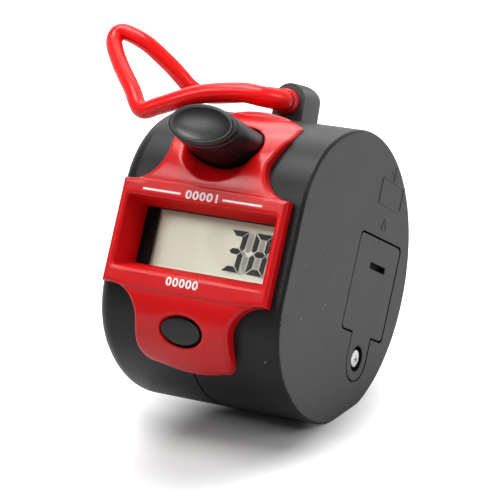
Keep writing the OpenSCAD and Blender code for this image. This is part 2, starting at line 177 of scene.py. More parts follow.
# a second finish on the faces that pass the test
def dressFaces(piece, material, test):
    piece.data.materials.append(material)
    for face in piece.data.polygons:
        if test(face):
            face.material_index = 1


# copy of a moulded part with its flat faces made whole, open for its edges to be rounded
def mouldedCopy(node, name):
    whole = {"merge": 0.002, "flatness": 0.05}
    piece = addObject(name, nodes[node].data.copy())
    startEdit(piece)
    bpy.ops.mesh.remove_doubles(threshold=whole["merge"] * mm)
    bpy.ops.mesh.dissolve_limited(angle_limit=math.radians(whole["flatness"]))
    return piece


def roundEdges(piece, width, steps, angle, test=lambda at: True):
    pickSharpEdges(piece, angle, test)
    bpy.ops.mesh.bevel(offset=width * mm, segments=steps, profile=0.5, affect="EDGES",
                       clamp_overlap=True, loop_slide=False, miter_outer="ARC")


# a moulding copied from its CAD node, its sharp edges rounded
def roundedCopy(node, name, width, steps=3, angle=35):
    piece = mouldedCopy(node, name)
    roundEdges(piece, width, steps, angle)
    endEdit()
    smoothShade(piece)
    weighFlats(piece)
    print(name, "has its edges rounded")
    return piece


# finishes


# a plain value or another node's output on a socket
def feed(tree, socket, source):
    if isinstance(source, bpy.types.NodeSocket):
        tree.links.new(source, socket)
    else:
        socket.default_value = source


# a node whose inputs are fed by name, with underscores for spaces
def addNode(tree, kind, **sources):
    made = tree.nodes.new("ShaderNode" + kind)
    for name, source in sources.items():
        feed(tree, made.inputs[name.replace("_", " ")], source)
    return made


# a maths node whose inputs are fed in their order
def addMaths(tree, kind, operation, *sources):
    made = addNode(tree, kind)
    made.operation = operation
    for socket, source in zip(made.inputs, sources):
        feed(tree, socket, source)
    return made


# a value that grows from 0 to 1, or between the ends given, as the source goes from first to last
def addGrowth(tree, source, first, last, curve="LINEAR", **ends):
    made = addNode(tree, "MapRange", Value=source, From_Min=first, From_Max=last, **ends)
    made.interpolation_type = curve
    return made.outputs["Result"]


class Finish:
    def __init__(self, name):
        self.material = bpy.data.materials.new(name)
        self.material.use_nodes = True
        self.tree = self.material.node_tree
        self.shader = self.tree.nodes["Principled BSDF"]
        self.place = addNode(self.tree, "TexCoord").outputs["Object"]

    def set(self, **sources):
        for name, source in sources.items():
            feed(self.tree, self.shader.inputs[name.replace("_", " ")], source)

    # grain is the number of patches to the metre
    def noise(self, grain, detail=3.0):
        made = addNode(self.tree, "TexNoise", Vector=self.place, Scale=grain, Detail=detail)
        return made.outputs["Fac"]

    def ramp(self, source, *stops):
        made = addNode(self.tree, "ValToRGB", Fac=source)
        for element, (at, shade) in zip(made.color_ramp.elements, stops):
            element.position = at
            element.color = (*shade, 1) if isinstance(shade, tuple) else (shade, shade, shade, 1)
        return made.outputs["Color"]

    # two shades in soft patches
    def patches(self, first, second, grain, detail=3.0, spread=(0.3, 0.7)):
        return self.ramp(self.noise(grain, detail), (spread[0], first), (spread[1], second))

    def colour(self, dark, pale, grain, **how):
        self.set(Base_Color=self.patches(dark, pale, grain, **how))

    def roughness(self, low, high, grain):
        self.set(Roughness=self.patches(low, high, grain))

    # depth in millimetres
    def bump(self, strength, depth, grain, detail=3.0):
        height = self.noise(grain, detail)
        made = addNode(self.tree, "Bump", Strength=strength, Distance=depth * mm, Height=height)
        self.set(Normal=made.outputs["Normal"])

    # base colour that passes from patches to a plain shade
    def overlay(self, factor, body, shade):
        made = addNode(self.tree, "Mix")
        made.data_type = "RGBA"
        for name, source in (("Factor", factor), ("A", body), ("B", (*shade, 1))):
            feed(self.tree, made.inputs[name], source)
        self.set(Base_Color=made.outputs["Result"])


def makeCasePlastic(name, dark, pale, shine, rough):
    case = {"roughSpan": 0.07, "grain": 0.09,
            "dust": (0.55, 0.55, 0.53), "dustSpacing": 3.8, "dustSize": 0.13, "dustCore": 0.6}
    finish = Finish(name)
    body = finish.patches(dark, pale, grain=160, spread=(0.35, 0.7))
    dust = addNode(finish.tree, "TexVoronoi", Vector=finish.place, Scale=1000 / case["dustSpacing"])
    edge = case["dustSize"] / case["dustSpacing"]
    speck = finish.ramp(dust.outputs["Distance"], (edge * case["dustCore"], 1.0), (edge, 0.0))
    finish.overlay(speck, body, case["dust"])
    finish.roughness(rough, rough + case["roughSpan"], grain=2600)
    finish.bump(strength=0.35, depth=0.02, grain=1000 / case["grain"], detail=2.0)
    finish.set(Specular_IOR_Level=shine)
    return finish.material


def makeFrontPlastic(name, rough, shine):
    front = {"deep": (0.59, 0.003, 0.005), "bright": (0.65, 0.004, 0.006), "roughSpan": 0.07, "ripple": 4.0}
    finish = Finish(name)
    finish.colour(front["deep"], front["bright"], grain=90)
    finish.roughness(rough, rough + front["roughSpan"], grain=400)
    finish.bump(strength=0.04, depth=0.05, grain=1000 / front["ripple"], detail=1.0)
    finish.set(Specular_IOR_Level=shine)
    return finish.material


def makeLoopVinyl():
    vinyl = {"deep": (0.86, 0.006, 0.007), "bright": (0.94, 0.010, 0.010), "shine": 0.3,
             "glow": 0.8, "glowColour": (1.0, 0.12, 0.10), "glowDepth": 1.5}
    finish = Finish("loopVinyl")
    finish.colour(vinyl["deep"], vinyl["bright"], grain=120)
    finish.roughness(low=0.18, high=0.26, grain=500)
    finish.bump(strength=0.02, depth=0.04, grain=700, detail=1.0)
    finish.set(Specular_IOR_Level=vinyl["shine"], Subsurface_Weight=vinyl["glow"])
    finish.set(Subsurface_Radius=vinyl["glowColour"], Subsurface_Scale=vinyl["glowDepth"] * mm)
    return finish.material


# thumb wear and a painted sheen pale the dish of the plunger, found by its height along the plunger's axis
def makeButtonPlastic():
    button = {"dark": (0.004, 0.004, 0.005), "pale": (0.007, 0.007, 0.008), "wearAndSheen": (0.036, 0.036, 0.037),
              "axis": (0, -0.8453, 0.5344), "dishFoot": (38.8, 38.85), "dishRim": (39.38, 38.96),
              "shine": 0.34}
    finish = Finish("buttonPlastic")
    tree = finish.tree
    height = addMaths(tree, "VectorMath", "DOT_PRODUCT", finish.place, button["axis"])
    limits = []
    for first, last in (button["dishFoot"], button["dishRim"]):
        limits.append(addGrowth(tree, height.outputs["Value"], first * mm, last * mm))
    # the pale dish is partly thumb wear and partly a painted sheen
    wearAndSheen = addMaths(tree, "Math", "MULTIPLY", *limits)
    body = finish.patches(button["dark"], button["pale"], grain=200)
    finish.overlay(wearAndSheen.outputs["Value"], body, button["wearAndSheen"])
    finish.roughness(low=0.26, high=0.33, grain=350)
    finish.bump(strength=0.15, depth=0.015, grain=12000, detail=2.0)
    finish.set(Specular_IOR_Level=button["shine"])
    return finish.material


def makeScrewSteel():
    steel = {"dull": (0.62, 0.61, 0.60), "bright": (0.80, 0.80, 0.80)}
    finish = Finish("screwSteel")
    finish.colour(steel["dull"], steel["bright"], grain=900)
    finish.roughness(low=0.18, high=0.34, grain=1500)
    finish.bump(strength=0.10, depth=0.02, grain=6000)
    finish.set(Metallic=1.0)
    return finish.material


# the film behind the crystal mirrors softly, so the field counts as part metal
def makeDisplayGlass():
    glass = {"shade": (0.79, 0.84, 0.68), "field": (0.81, 0.86, 0.70), "mirror": 0.75}
    finish = Finish("displayGlass")
    finish.colour(glass["shade"], glass["field"], grain=70, detail=1.0)
    finish.roughness(low=0.42, high=0.50, grain=300)
    finish.bump(strength=0.05, depth=0.01, grain=9000, detail=1.0)
    finish.set(Metallic=glass["mirror"])
    return finish.material


def makeDigitInkAndShadow(name, shade, lighter=1.25):
    finish = Finish(name)
    finish.colour(shade, tuple(part * lighter for part in shade), grain=400)
    finish.roughness(low=0.35, high=0.45, grain=500)
    return finish.material


def makeWhiteInk():
    ink = {"thin": (0.72, 0.68, 0.67), "full": (0.86, 0.85, 0.84)}
    finish = Finish("whiteInk")
    finish.colour(ink["thin"], ink["full"], grain=1800, spread=(0.25, 0.5))
    finish.roughness(low=0.38, high=0.5, grain=900)
    finish.bump(strength=0.12, depth=0.02, grain=5000)
    return finish.material


def makeLens():
    lens = {"dark": (0.03, 0.03, 0.035), "pale": (0.06, 0.06, 0.065), "film": 0.05}
    finish = Finish("windowLens")
    finish.colour(lens["dark"], lens["pale"], grain=300)
    finish.roughness(low=0.03, high=0.07, grain=500)
    finish.set(Alpha=lens["film"])
    return finish.material


# inner pieces: two shades, roughness, metal or not, grain and shine
def makeInner(name, dark, pale, rough, metallic, grain, shine=0.5):
    finish = Finish(name)
    finish.colour(dark, pale, grain)
    finish.roughness(low=rough * 0.85, high=rough * 1.15, grain=grain * 2)
    finish.bump(strength=0.12, depth=0.02, grain=grain * 6)
    finish.set(Metallic=metallic, Specular_IOR_Level=shine)
    return finish.material


# dark and pale shade, then shine and roughness
casePlastic = makeCasePlastic("casePlastic", (0.009, 0.009, 0.010), (0.012, 0.012, 0.013), 0.22, 0.33)
# the flat sides' paler grey is partly their matte texture and partly painted light
sidePlastic = makeCasePlastic("sidePlastic", (0.074, 0.074, 0.075), (0.084, 0.084, 0.085), 0.3, 0.48)
# lugPlastic is paler still, a painted highlight on the lug's sides
lugPlastic = makeCasePlastic("lugPlastic", (0.15, 0.15, 0.151), (0.17, 0.17, 0.171), 0.3, 0.48)
frontPlastic = makeFrontPlastic("frontPlastic", rough=0.18, shine=0.30)
windowPlastic = makeFrontPlastic("windowPlastic", rough=0.58, shine=0.12)
loopVinyl = makeLoopVinyl()
buttonPlastic = makeButtonPlastic()
screwSteel = makeScrewSteel()
whiteInk = makeWhiteInk()
segmentInk = makeDigitInkAndShadow("segmentInk", (0.012, 0.012, 0.012))
# a pale copy of the ink, for painted shadows of the digits on the glass
digitShadowPaint = makeDigitInkAndShadow("digitShadowPaint", (0.54, 0.74, 0.66))
framePlastic = makeInner("framePlastic", (0.004, 0.004, 0.004), (0.008, 0.007, 0.007), 0.6, 0.0, 900, 0.08)
contactNickel = makeInner("contactNickel", (0.58, 0.55, 0.48), (0.72, 0.69, 0.62), 0.3, 1.0, 1600)
innerFinishes = {
    "window_lens": makeLens(),
    "lcd_glass": makeDisplayGlass(),
    "lcd_frame": framePlastic,
    "lcd_reflector": makeInner("reflectorFilm", (0.5, 0.5, 0.45), (0.62, 0.62, 0.57), 0.35, 0.0, 1500),
    "zebra_strips": makeInner("zebraSilicone", (0.05, 0.05, 0.055), (0.12, 0.12, 0.13), 0.7, 0.0, 2500),
    "main_pcb": makeInner("boardLacquer", (0.010, 0.085, 0.035), (0.018, 0.13, 0.055), 0.35, 0.0, 700),
    "chip_blob": makeInner("chipResin", (0.006, 0.006, 0.007), (0.012, 0.012, 0.013), 0.22, 0.0, 500),
    "quartz_crystal": makeInner("crystalCan", (0.60, 0.60, 0.61), (0.74, 0.74, 0.75), 0.28, 1.0, 1200),
    "smd_parts": makeInner("chipCeramic", (0.20, 0.14, 0.09), (0.32, 0.24, 0.16), 0.45, 0.0, 2500),
    "pcb_screws": screwSteel,
    "contact_pill": makeInner("carbonPill", (0.012, 0.012, 0.012), (0.03, 0.03, 0.03), 0.7, 0.0, 2500),
    "count_spring": makeInner("springWire", (0.50, 0.50, 0.51), (0.68, 0.68, 0.69), 0.28, 1.0, 1800),
    "spring_seat": makeInner("seatPlastic", (0.30, 0.30, 0.28), (0.40, 0.40, 0.38), 0.5, 0.0, 800),
    "reset_dome": makeInner("domeSilicone", (0.26, 0.27, 0.28), (0.36, 0.37, 0.38), 0.6, 0.0, 1200),
    "button_cell": makeInner("cellSteel", (0.42, 0.42, 0.43), (0.52, 0.52, 0.52), 0.30, 1.0, 1400),
    "contact_positive": contactNickel,
    "contact_negative": contactNickel,
}
for node, material in innerFinishes.items():
    nodes[node].data.materials.clear()
    nodes[node].data.materials.append(material)
print("finishes ready")


def makeShells():
    shell = {"seamHalf": 0.12, "seamNear": 0.02, "seamRound": 0.08, "seamSteps": 2, "rimBand": 0.1,
             "edges": {"left": 2.8, "right": 0.6}, "flat": (19.0, 7.0), "bend": (-5.25, 13.75),
             "bendSlope": 4 / 3, "near": 0.06, "agree": 0.93, "axisNear": 0.001, "sharp": 30}
    flat, flatEnd = shell["flat"]
    bendY, bendRadius = shell["bend"]

    def onSeam(at):
        onRim = math.hypot(at.y, at.z) > drum["radius"] - shell["rimBand"]
        return onRim and abs(abs(at.x) - shell["seamHalf"]) < shell["seamNear"]

    def onFlatSide(face):
        return abs(face.center.x / mm) > drum["halfWidth"] - shell["near"]

    # true direction of the outer skin at a point: front flat, bend, drum and rounded edge
    def skinNormal(at, edge):
        ahead, above = bendY - at.y, abs(at.z) - flatEnd
        if ahead > 0 and above <= 0:
            outY, outZ, depth = -1, 0, flat + at.y
        elif ahead > 0 and above / ahead < shell["bendSlope"]:
            reach = math.hypot(ahead, above)
            outY, outZ, depth = -ahead / reach, above / reach, bendRadius - reach
        else:
            reach = max(shell["axisNear"], math.hypot(at.y, at.z))
            outY, outZ, depth = at.y / reach, abs(at.z) / reach, drum["radius"] - reach
        outZ = math.copysign(outZ, at.z)
        past = abs(at.x) - drum["halfWidth"] + edge
        if past <= 0:
            return Vector((0, outY, outZ)) if abs(depth) < shell["near"] else None
        rise = edge - depth
        if rise <= 0:
            return Vector((math.copysign(1, at.x), 0, 0)) if abs(past - edge) < shell["near"] else None
        span = math.hypot(past, rise)
        if abs(span - edge) > shell["near"]:
            return None
        return Vector((math.copysign(past / span, at.x), outY * rise / span, outZ * rise / span))

    back = drumPlace.inverted()
    turn = drumPlace.to_3x3()
    for side, edge in shell["edges"].items():
        node = side + "_shell"
        piece = mouldedCopy(node, side + "Shell")
        roundEdges(piece, shell["seamRound"], shell["seamSteps"], shell["sharp"], onSeam)
        endEdit()
        smoothShade(piece, shell["sharp"])
        weighFlats(piece)
        mesh = piece.data
        normals = [corner.vector.copy() for corner in mesh.corner_normals]
        for face in mesh.polygons:
            for corner in face.loop_indices:
                point = back @ mesh.vertices[mesh.loops[corner].vertex_index].co / mm
                skin = skinNormal(point, edge)
                if skin is not None and (turn @ skin).dot(face.normal) > shell["agree"]:
                    normals[corner] = turn @ skin
        mesh.normals_split_custom_set(normals)
        dress(piece, casePlastic, "base", "case_plastic", node)
        # the flat side has its own matte texture, and its paler grey is partly painted light
        dressFaces(piece, sidePlastic, onFlatSide)
    print("shells rounded along the seam")


# points along an arc, angles in degrees
def arcPoints(centre, radius, first, last, step=0.4):
    count = max(2, math.ceil(math.radians(abs(last - first)) * radius / step))
    angles = [math.radians(first + (last - first) * i / count) for i in range(count + 1)]
    return [(centre[0] + radius * math.cos(a), centre[1] + radius * math.sin(a)) for a in angles]


# closed oval of points, run clockwise as a hole
def ovalHole(x, z, halfWidth, halfHeight, count=72):
    angles = [-2 * math.pi * i / count for i in range(count)]
    return [(x + halfWidth * math.cos(a), z + halfHeight * math.sin(a)) for a in angles]


bezel = {
    "reach": 20.9, "halfWidth": 13.85, "low": -8.5, "high": 7.4, "cornerRound": 5.1, "cornerOverlap": 0.1,
    "neckX": 0.2, "neckHalf": 8.45, "fanHalf": 9.2, "fanAt": 17, "fanTopHalf": 8.8, "fanRadius": 17.6,
    "fanCentre": 4.4, "fanFrom": 14, "fanDrum": 22.95,
    "lobeX": 0.35, "lobeHalf": 7.95, "lobeLow": -16.2, "lobeRound": 2.35, "lobeSweep": 82, "lobeOut": 0.05,
    "lobeRadius": 22, "lobeCentre": 2.8,
    "thickness": 3.0, "leastWall": 0.9, "edgeRound": 0.55, "edgeSteps": 3, "sharp": 40,
    "proud": 0.3, "proudEdge": 0.35, "proudSteps": 4, "proudFade": 5.5,
    "upperBend": (-8.9, 7.3, 12.0), "lowerBend": (-9.7, -8.5, 11.2),
    "bowlCentre": (-24.495, 15.676), "bowlRadius": 8.0, "bowlLip": 0.6,
    "window": (12.5, -5.85, 4.87), "windowFoot": (12.12, -4.55, 4.3), "windowNear": 0.05,
    "windowCorner": 0.35, "windowStep": 0.15,
    "tubeWall": (13.3, -7.0, 6.0), "tubeEnd": -14.9, "tubeStep": 0.02, "tubeNear": 0.01,
    "countHole": (0, 14.87, 6.15, 3.75), "resetHole": (0.35, -13.9, 3.55, 2.15),
    "shellFlat": (19.04, 7.0), "shellBend": (-5.25, 13.79, 18.0), "shellRound": 22.54,
    "gridStep": 0.35, "gridZ": (-19.2, 41.2), "gridX": (-9.1, 18.4), "merge": 0.001, "cutNear": 0.0005,
}


# outline seen from the front, the sides mirrored about the neck's and the lobe's own middle
def bezelOutline():
    box, low, high, turn = bezel["halfWidth"], bezel["low"], bezel["high"], bezel["cornerRound"]
    neck, lobe = bezel["neckX"], bezel["lobeX"]
    neckTurn = bezel["neckHalf"] + turn - bezel["cornerOverlap"]
    lobeTurn = bezel["lobeHalf"] + turn - bezel["cornerOverlap"]
    fanEnd = math.degrees(math.acos(bezel["fanTopHalf"] / bezel["fanRadius"]))
    footX = bezel["lobeHalf"] - bezel["lobeRound"] + bezel["lobeOut"]
    footZ, footRound, sweep = bezel["lobeLow"], bezel["lobeRound"], bezel["lobeSweep"]
    footEnd = math.degrees(math.acos(footX / bezel["lobeRadius"]))
    outline = [(box, low), (box, high)]
    outline += arcPoints((neck + neckTurn, high + turn), turn, -90, -180)
    outline += [(neck + bezel["fanHalf"], bezel["fanAt"])]
    outline += arcPoints((neck, bezel["fanCentre"]), bezel["fanRadius"], fanEnd, 180 - fanEnd)
    outline += [(neck - bezel["fanHalf"], bezel["fanAt"])]
    outline += arcPoints((neck - neckTurn, high + turn), turn, 0, -90)
    outline += [(-box, high), (-box, low)]
    outline += arcPoints((lobe - lobeTurn, low - turn), turn, 90, 0)
    outline += arcPoints((lobe - footX, footZ), footRound, 180, 180 + sweep)
    sole = arcPoints((lobe, bezel["lobeCentre"]), bezel["lobeRadius"], 180 + footEnd, 360 - footEnd)
    outline += sole[1:-1]
    outline += arcPoints((lobe + footX, footZ), footRound, 360 - sweep, 360)
    outline += arcPoints((lobe + lobeTurn, low - turn), turn, 180, 90)
    return outline


# openings for the display, the plunger and the key
def bezelHoles():
    half, low, high = bezel["window"]
    corner = bezel["windowCorner"]
    window = []
    for x, z, first in ((half, high, 90), (half, low, 0), (-half, low, -90), (-half, high, 180)):
        centre = (x - math.copysign(corner, x), z - math.copysign(corner, z))
        window += arcPoints(centre, corner, first, first - 90, bezel["windowStep"])
    return [window, ovalHole(*bezel["countHole"]), ovalHole(*bezel["resetHole"])]


# a flat filled curve with rounded edges, made a mesh
def flatSheet(name, loops):
    edge = bezel["edgeRound"]
    curve = bpy.data.curves.new(name, "CURVE")
    curve.dimensions = "2D"
    curve.fill_mode = "BOTH"
    for loop in loops:
        spline = curve.splines.new("POLY")
        spline.points.add(len(loop) - 1)
        for point, (x, z) in zip(spline.points, loop):
            point.co = (x * mm, z * mm, 0, 1)
        spline.use_cyclic_u = True
    curve.bevel_depth = edge * mm
    curve.bevel_resolution = bezel["edgeSteps"]
    curve.offset = -edge * mm
    curve.extrude = (bezel["thickness"] / 2 - edge) * mm
    return meshFromCurve(name, curve)


# cuts the sheet into a fine grid so that it can follow the bends and the bowl
def cutGrid(piece):
    grid, wall = bezel["gridStep"], bezel["tubeStep"]
    tubeHalf, tubeLow, tubeHigh = bezel["tubeWall"]
    startZ, spanZ = bezel["gridZ"]
    cutsZ = [startZ + grid * i for i in range(int(spanZ / grid))]
    cutsZ += [tubeLow, tubeLow + wall, tubeHigh, tubeHigh - wall]
    part = bezel["proudEdge"] / bezel["proudSteps"]
    for crease in (bezel["low"], bezel["upperBend"][1]):
        cutsZ += [crease + math.copysign(part * i, crease) for i in range(bezel["proudSteps"] + 1)]
    startX, spanX = bezel["gridX"]
    cutsX = [startX + grid * i for i in range(int(spanX / grid))]
    cutsX += [-tubeHalf, wall - tubeHalf, tubeHalf, tubeHalf - wall]
    planes = [((0, z * mm, 0), (0, 1, 0)) for z in cutsZ]
    planes += [((x * mm, 0, 0), (1, 0, 0)) for x in cutsX]
    startEdit(piece)
    bpy.ops.mesh.remove_doubles(threshold=bezel["merge"] * mm)
    for at, normal in planes:
        bpy.ops.mesh.select_all(action="SELECT")
        bpy.ops.mesh.bisect(plane_co=at, plane_no=normal, threshold=bezel["cutNear"] * mm)
    endEdit()


# the step beside the proud box, fading out where the bend takes over
def boxStep(past):
    part = min(1, past / bezel["proudEdge"])
    return bezel["proud"] * part * part * (3 - 2 * part) * max(0, 1 - past / bezel["proudFade"])


# front of a round stretch, at a height above its centre
def arcFront(centreY, radius, height):
    return centreY - math.sqrt(max(0, radius * radius - height * height))


def bendFront(z):
    upperY, upperZ, upperRadius = bezel["upperBend"]
    lowerY, lowerZ, lowerRadius = bezel["lowerBend"]
    if z > upperZ:
        y = arcFront(upperY, upperRadius, z - upperZ) + boxStep(z - upperZ)
        return min(y, arcFront(0, bezel["fanDrum"], z)) if z > bezel["fanFrom"] else y
    if z < lowerZ:
        return arcFront(lowerY, lowerRadius, z - lowerZ) + boxStep(lowerZ - z)
    return -bezel["reach"]


# sinks the bowl into the bend with a soft lip
def bezelFront(x, z):
    y = bendFront(z)
    bowlY, bowlZ = bezel["bowlCentre"]
    lip = bezel["bowlLip"]
    inside = bezel["bowlRadius"] ** 2 - x * x - (z - bowlZ) ** 2
    if inside <= 0:
        return y
    bowl = bowlY + math.sqrt(inside)
    soft = max(0, lip - abs(bowl - y)) / lip
    return max(y, bowl) + soft * soft * lip / 4


# the shells' own profile, which the back lies on: flat, bend, drum
def shellFront(z):
    flat, flatEnd = bezel["shellFlat"]
    bendY, bendRadius, bendEnd = bezel["shellBend"]
    if z < flatEnd:
        return -flat
    if z < bendEnd:
        return arcFront(bendY, bendRadius, z - flatEnd)
    return arcFront(0, bezel["shellRound"], z)


def bezelBack(x, z):
    tubeHalf, tubeLow, tubeHigh = bezel["tubeWall"]
    near = bezel["tubeNear"]
    if abs(x) < tubeHalf - near and tubeLow + near < z < tubeHigh - near:
        return bezel["tubeEnd"]
    return max(shellFront(abs(z)), bezelFront(x, z) + bezel["leastWall"])


def makeFrontBezel():
    half, low, high = bezel["window"]
    footHalf, footLow, footHigh = bezel["windowFoot"]

    def inWindow(x, z):
        near = bezel["windowNear"]
        return abs(x) < half + near and low - near < z < high + near

    piece = flatSheet("frontBezel", [bezelOutline()] + bezelHoles())
    cutGrid(piece)
    top = max(vert.co.z for vert in piece.data.vertices)
    for vert in piece.data.vertices:
        x, z = vert.co.x / mm, vert.co.y / mm
        depth = (top - vert.co.z) / mm
        if depth < bezel["thickness"] / 2:
            y = bezelFront(x, z) + depth
        else:
            y = bezelBack(x, z)
            # the window narrows towards its foot
            if inWindow(x, z):
                x *= footHalf / half
                z = footLow + (z - low) * (footHigh - footLow) / (high - low)
        vert.co = Vector((x, y, z)) * mm
    settle(piece)
    startEdit(piece)
    endFacingOut()
    smoothShade(piece, bezel["sharp"])
    dress(piece, frontPlastic, "base", "front_plastic", "front_bezel")
    back = drumPlace.inverted()

    def onWindowWall(face):
        at = back @ face.center / mm
        return inWindow(at.x, at.z) and at.y > -bezel["reach"] + bezel["edgeRound"]

    # the walls inside the window are matt
    dressFaces(piece, windowPlastic, onWindowWall)
    print("front bezel bent to shape,", len(piece.data.polygons), "faces")


# builds a solid from stacked oval rings (half width, half height, height) on a circle
def stackRings(name, rings, count=96):
    deselectAll()
    wide, tall, height = rings[0]
    bpy.ops.mesh.primitive_circle_add(vertices=count, radius=mm, fill_type="NGON")
    piece = bpy.context.object
    piece.name = name
    bpy.ops.object.mode_set(mode="EDIT")
    bpy.ops.transform.resize(value=(wide, tall, 1), center_override=(0, 0, 0))
    bpy.ops.transform.translate(value=(0, 0, height * mm))
    for nextWide, nextTall, nextHeight in rings[1:]:
        rise = (0, 0, (nextHeight - height) * mm)
        growth = (nextWide / wide, nextTall / tall, 1)
        bpy.ops.mesh.extrude_region_move(TRANSFORM_OT_translate={"value": rise})
        bpy.ops.transform.resize(value=growth, center_override=(0, 0, nextHeight * mm))
        wide, tall, height = nextWide, nextTall, nextHeight
    endFacingOut()
    return piece


# the same for a round solid, from (radius, height) along its axis
def stackRounds(name, profile, count):
    return stackRings(name, [(radius, radius, height) for radius, height in profile], count)


plunger = {"foot": (0, -5.5, 13.68), "slant": 6}
plungerPlace = (drumPlace @ Matrix.Translation(Vector(plunger["foot"]) * mm)
                @ Matrix.Rotation(math.radians(90 - plunger["slant"]), 4, "X"))


def makeCountButton():
    button = {"halfWidth": 5.5, "halfHeight": 3.1, "top": 20.9, "capHeight": 1.3, "sharp": 50,
              "stem": 1.7, "stemFoot": 2.3, "flangeFoot": 3.7, "flangeTop": 4.7, "flangeGrow": 0.65,
              "waistGrow": -0.3, "base": 11.4, "baseGrow": 0.5,
              "groove": ((0.1, -0.25), (0.06, -0.12), (-0.06, -0.05), (-0.06, 0.05), (0.02, 0.12)),
              "edge": 0.35, "edgeSteps": 5, "rim": 0.25, "dish": 0.5, "dishSteps": 7.5, "dishCurve": 0.8}
    wide, tall, top, edge = button["halfWidth"], button["halfHeight"], button["top"], button["edge"]
    stem, foot, flange, base = button["stem"], button["flangeFoot"], button["flangeTop"], button["base"]

    def ring(grow, height):
        return (wide + grow, tall + grow, height)

    rings = [(stem, stem, button["stemFoot"]), (stem, stem, foot)]
    rings += [ring(button["flangeGrow"], foot), ring(button["flangeGrow"], flange)]
    rings += [ring(button["waistGrow"], flange), ring(button["waistGrow"], base)]
    rings.append(ring(button["baseGrow"], base))
    # groove under the cap
    middle = top - button["capHeight"]
    rings += [ring(grow, middle + above) for grow, above in button["groove"]]
    for i in range(1, button["edgeSteps"] + 1):
        angle = math.radians(90 * i / button["edgeSteps"])
        rings.append(ring(-edge * (1 - math.cos(angle)), top - edge * (1 - math.sin(angle))))
    # rim and thumb dish, half a step left flat in the middle
    rimWide, rimTall = wide - edge - button["rim"], tall - edge - button["rim"]
    rings.append((rimWide, rimTall, top))
    for i in range(1, math.ceil(button["dishSteps"])):
        part = i / button["dishSteps"]
        depth = button["dish"] * (1 - (1 - part) ** 2) ** button["dishCurve"]
        rings.append((rimWide * (1 - part), rimTall * (1 - part), top - depth))
    piece = stackRings("countButton", rings)
    settle(piece, plungerPlace)
    smoothShade(piece, button["sharp"])
    dress(piece, buttonPlastic, "count", "button_plastic", "count_button")
    print("count button stacked")


def makeResetButton():
    button = {"edge": 0.35}
    piece = roundedCopy("reset_button", "resetButton", button["edge"])
    dress(piece, buttonPlastic, "reset", "button_plastic", "reset_button")


def makeBatteryDoor():
    door = {"edge": 0.12, "skin": 0.14}
    piece = roundedCopy("battery_door", "batteryDoor", door["edge"])
    dress(piece, sidePlastic, "door", "case_plastic", "battery_door")
    # below its outer skin, as in the slot and round the screw, the door is painted dark for the shade in
    # those hollows
    dressFaces(piece, framePlastic, lambda face: face.center.x / mm < drum["halfWidth"] - door["skin"])


def makeLoopLug():
    arch = {"edge": 0.3, "facing": 0.7}
    piece = roundedCopy("loop_lug", "loopLug", arch["edge"])
    dress(piece, sidePlastic, "base", "case_plastic", "loop_lug")
    # its two sides are paler than its front, a painted highlight for the light they catch
    dressFaces(piece, lugPlastic, lambda face: abs(face.normal.x) > arch["facing"])


# a copy of a springy piece, shaded smooth and dressed in place of its CAD node
def makeSpringy(node, name, slot, joint, axis, travel):
    piece = mouldedCopy(node, name)
    endEdit()
    smoothShade(piece)
    dress(piece, innerFinishes[node], "base", slot, node)
    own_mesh(piece)


def makeSprings():
    springs = {"count": {"axis": (0, 0.84526, -0.53435), "travel": 1.6},
               "reset": {"axis": (0, 0.89649, -0.44307), "travel": 0.8}}
    makeSpringy("count_spring", "countSpring", "steel", "count_press", **springs["count"])
    makeSpringy("reset_dome", "resetDome", "silicone", "reset_press", **springs["reset"])


lug = {"spot": (0, 2.2, 25.9), "lean": 8, "depth": 5.6}
lugPlace = (drumPlace @ Matrix.Translation(Vector(lug["spot"]) * mm)
            @ Matrix.Rotation(math.radians(lug["lean"]), 4, "X"))


# (radius, height) of a disc whose two rims are rounded
def collarProfile(radius, edge, near, far):
    profile = [(radius - edge, near)]
    for angle in (30, 60, 90):
        turn = math.radians(angle)
        profile.append((radius - edge * (1 - math.sin(turn)), near + edge * (1 - math.cos(turn))))
    for angle in (0, 30, 60, 90):
        turn = math.radians(angle)
        profile.append((radius - edge * (1 - math.cos(turn)), far - edge * (1 - math.sin(turn))))
    return profile


# (radius, height) of a pin whose two ends are chamfered
def pinProfile(radius, edge, near, far):
    return [(radius - edge, near), (radius, near + edge), (radius, far - edge), (radius - edge, far)]


